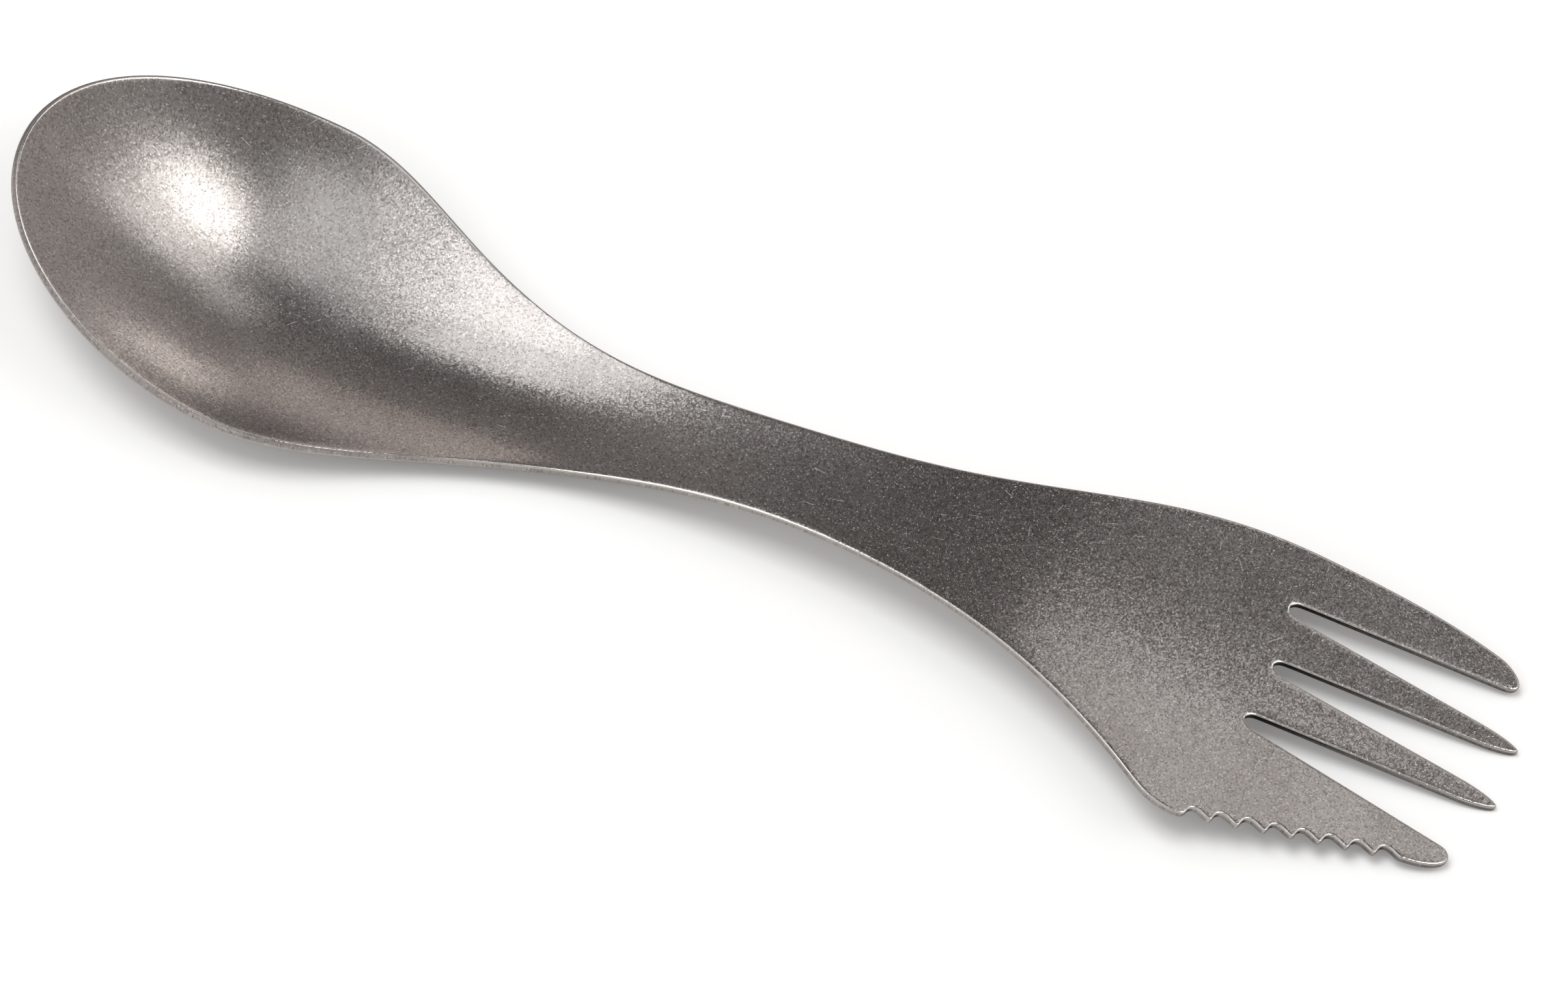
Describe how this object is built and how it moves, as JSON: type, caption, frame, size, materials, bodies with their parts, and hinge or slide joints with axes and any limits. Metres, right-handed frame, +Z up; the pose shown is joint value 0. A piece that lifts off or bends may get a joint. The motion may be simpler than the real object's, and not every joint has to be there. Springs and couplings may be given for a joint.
{
  "type": "spork",
  "caption": "Titanium spork pressed from one sheet: a spoon bowl at one end, a waisted handle and a fork at the other, one outer tine a toothed blade.",
  "frame": {"origin": "on the surface that the spork lies on, under the middle of its bounding box", "axes": "+X from the bowl to the fork, +Y to the plain outer tine, +Z up out of the bowl"},
  "size_m": [0.1702, 0.0396, 0.016],
  "materials": {
    "titanium": "tumbled bare titanium, satin, with fine scratches and specks"
  },
  "bodies": {
    "root": {"spork": "titanium"}
  },
  "joints": []
}
